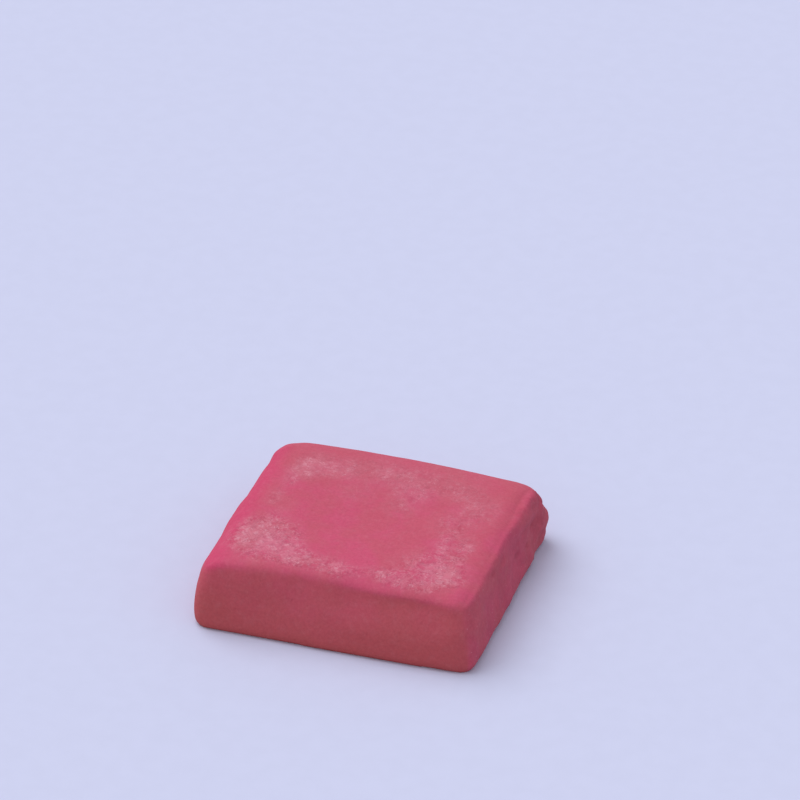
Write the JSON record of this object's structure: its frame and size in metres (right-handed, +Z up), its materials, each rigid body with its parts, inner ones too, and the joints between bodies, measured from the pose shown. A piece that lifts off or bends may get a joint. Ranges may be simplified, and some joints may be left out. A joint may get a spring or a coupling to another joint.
{
  "type": "kneaded eraser",
  "caption": "Soft slab of raspberry putty rubber with rounded shoulders, chalky rubbed top and one torn end, for lifting pencil and charcoal.",
  "frame": {"origin": "centre of the face it rests on, at the middle of its bounding box", "axes": "+X along the length towards the torn end, +Y to the back, +Z up"},
  "size_m": [0.0426, 0.0384, 0.01],
  "materials": {
    "putty": "matte, chalky where it is rubbed"
  },
  "bodies": {
    "root": {"eraser": "putty"}
  },
  "joints": []
}
